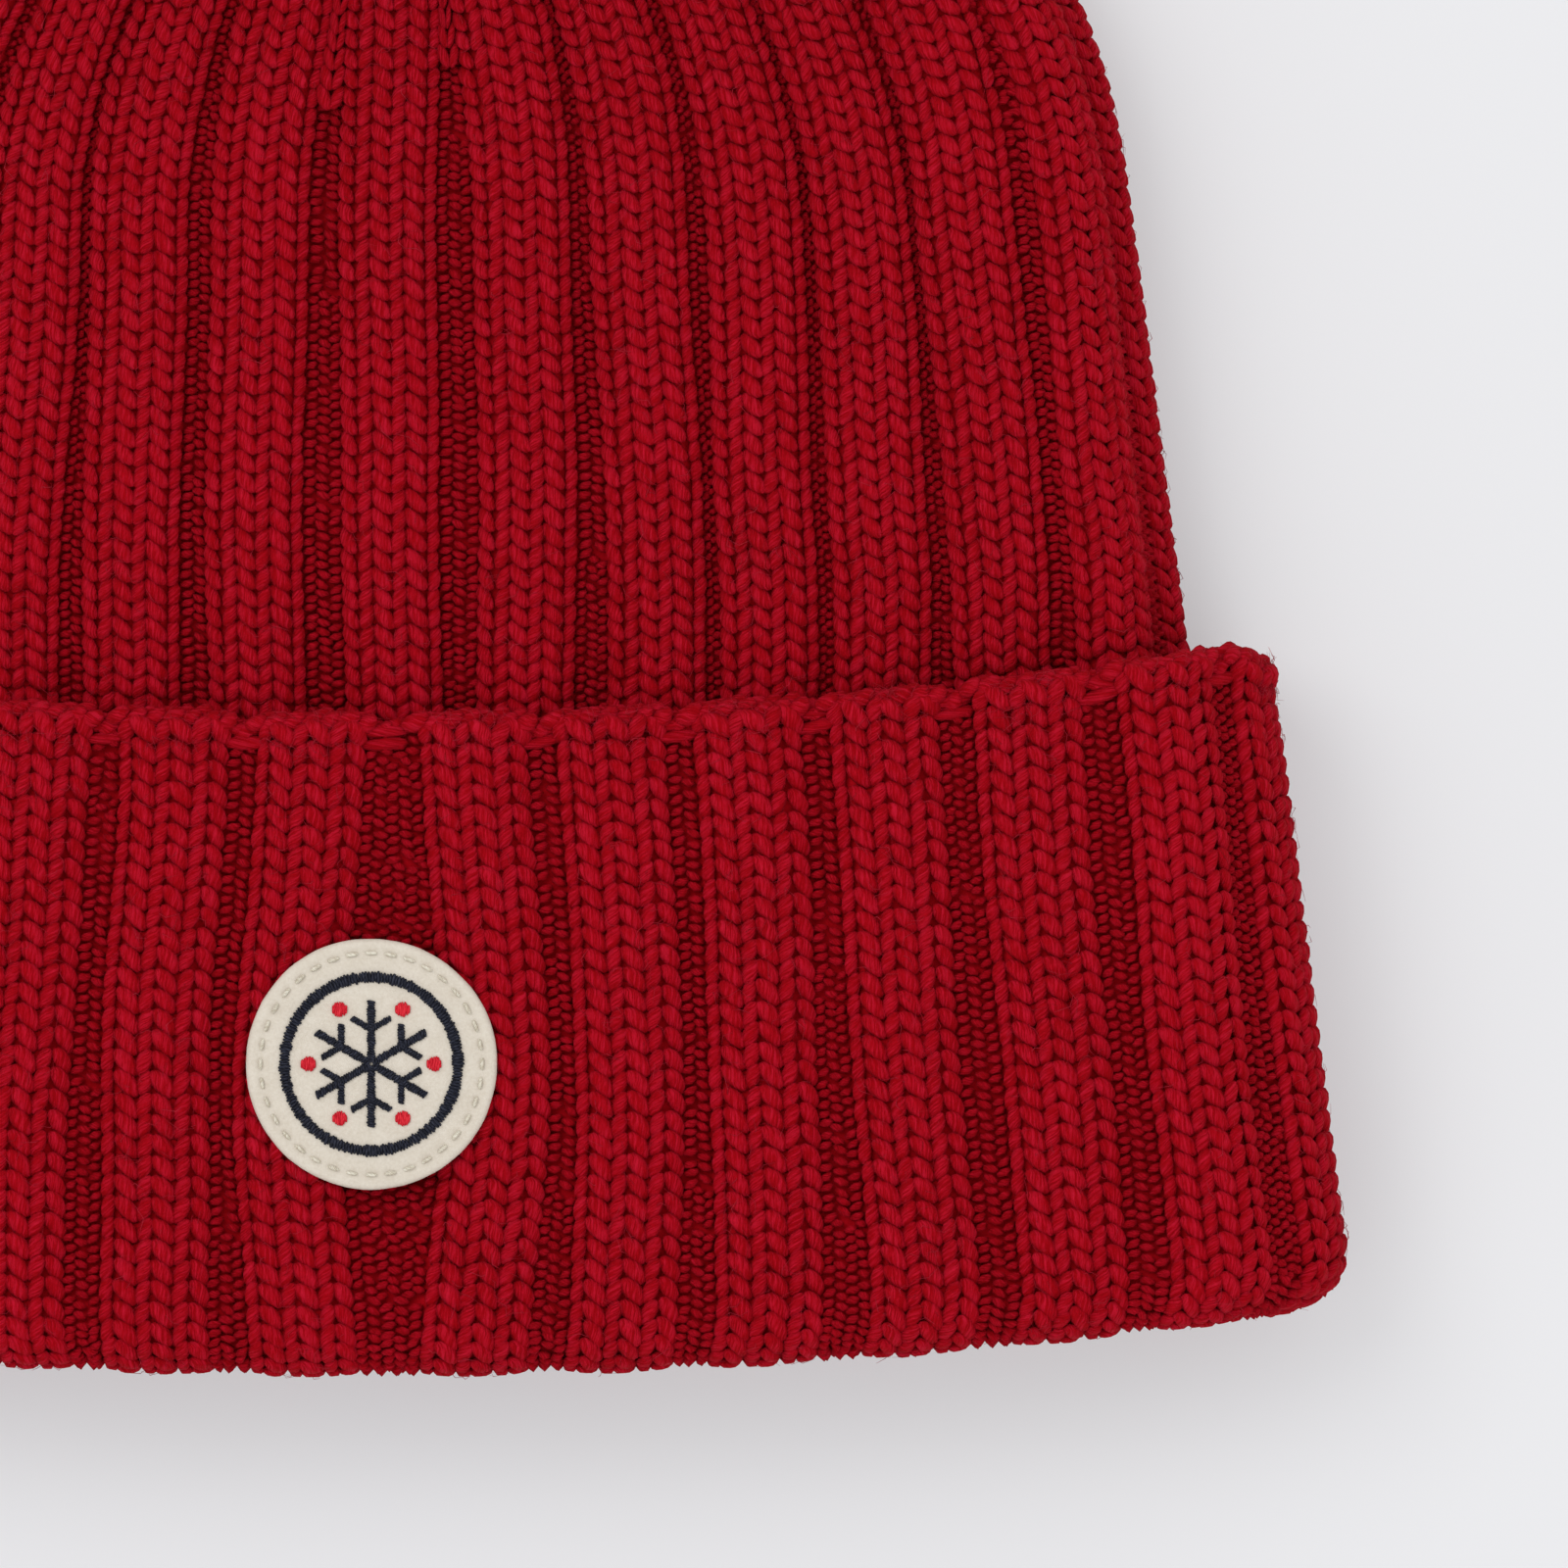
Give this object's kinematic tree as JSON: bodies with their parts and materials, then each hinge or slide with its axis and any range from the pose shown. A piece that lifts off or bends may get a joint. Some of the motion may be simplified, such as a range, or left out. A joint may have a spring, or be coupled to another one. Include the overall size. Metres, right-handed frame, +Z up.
{
  "type": "pom pom beanie",
  "caption": "Chunky rib-knit winter beanie lying flat, with a deep turned-up cuff, a sewn felt patch and a yarn pom pom tied to the crown.",
  "frame": {"origin": "middle of the footprint of the hat lying on its back, on the surface it lies on", "axes": "+X across the hat, +Y from the mouth to the pom pom, +Z up out of the hat's front"},
  "size_m": [0.2458, 0.3119, 0.084],
  "materials": {
    "knit_red": "matte chunky rib-knit wool",
    "seam_thread": "matte linking thread",
    "tie_yarn": "matte plied wool",
    "pompom_yarn": "fluffy cut wool",
    "label_satin": "woven satin ribbon, blank",
    "label_thread": "polyester sewing thread",
    "felt_cream": "dense matte felt",
    "thread_navy": "satin-stitch embroidery thread",
    "thread_red": "satin-stitch embroidery thread",
    "thread_cream": "matte sewing thread"
  },
  "bodies": {
    "hat": {"crown_body": "knit_red", "turn_up_cuff": "knit_red", "cast_on_edge": "knit_red", "back_seam": "seam_thread", "crown_gather_yarn": "tie_yarn", "tie_knot": "tie_yarn", "care_label_stitches": "label_thread", "patch_felt": "felt_cream", "patch_ring": "thread_navy", "patch_snowflake": "thread_navy", "patch_dots": "thread_red", "patch_stitches": "thread_cream"},
    "label": {"care_label": "label_satin"},
    "tie_bend": {"tether_bead": "tie_yarn"},
    "tie": {"tether_shank": "tie_yarn"},
    "pompom": {"pompom_ball": "pompom_yarn", "pompom_binding": "tie_yarn"}
  },
  "joints": [
    {"name": "pompom_swing", "type": "hinge", "parent": "hat", "child": "tie_bend", "pos_m": [0, 0.073, 0.016], "axis": [0, 0, 1], "range_deg": [-30, 30]},
    {"name": "pompom_nod", "type": "hinge", "parent": "tie_bend", "child": "tie", "pos_m": [0, 0.073, 0.016], "axis": [1, 0, 0], "range_deg": [0, 30]},
    {"name": "pompom_twist", "type": "hinge", "parent": "tie", "child": "pompom", "pos_m": [0, 0.11394, 0.042], "axis": [0, 0.8442, 0.5361], "range_deg": [-90, 90]},
    {"name": "label_lift", "type": "hinge", "parent": "hat", "child": "label", "pos_m": [0.015, -0.134, 0.0116], "axis": [1, 0, 0], "range_deg": [0, 18]}
  ]
}
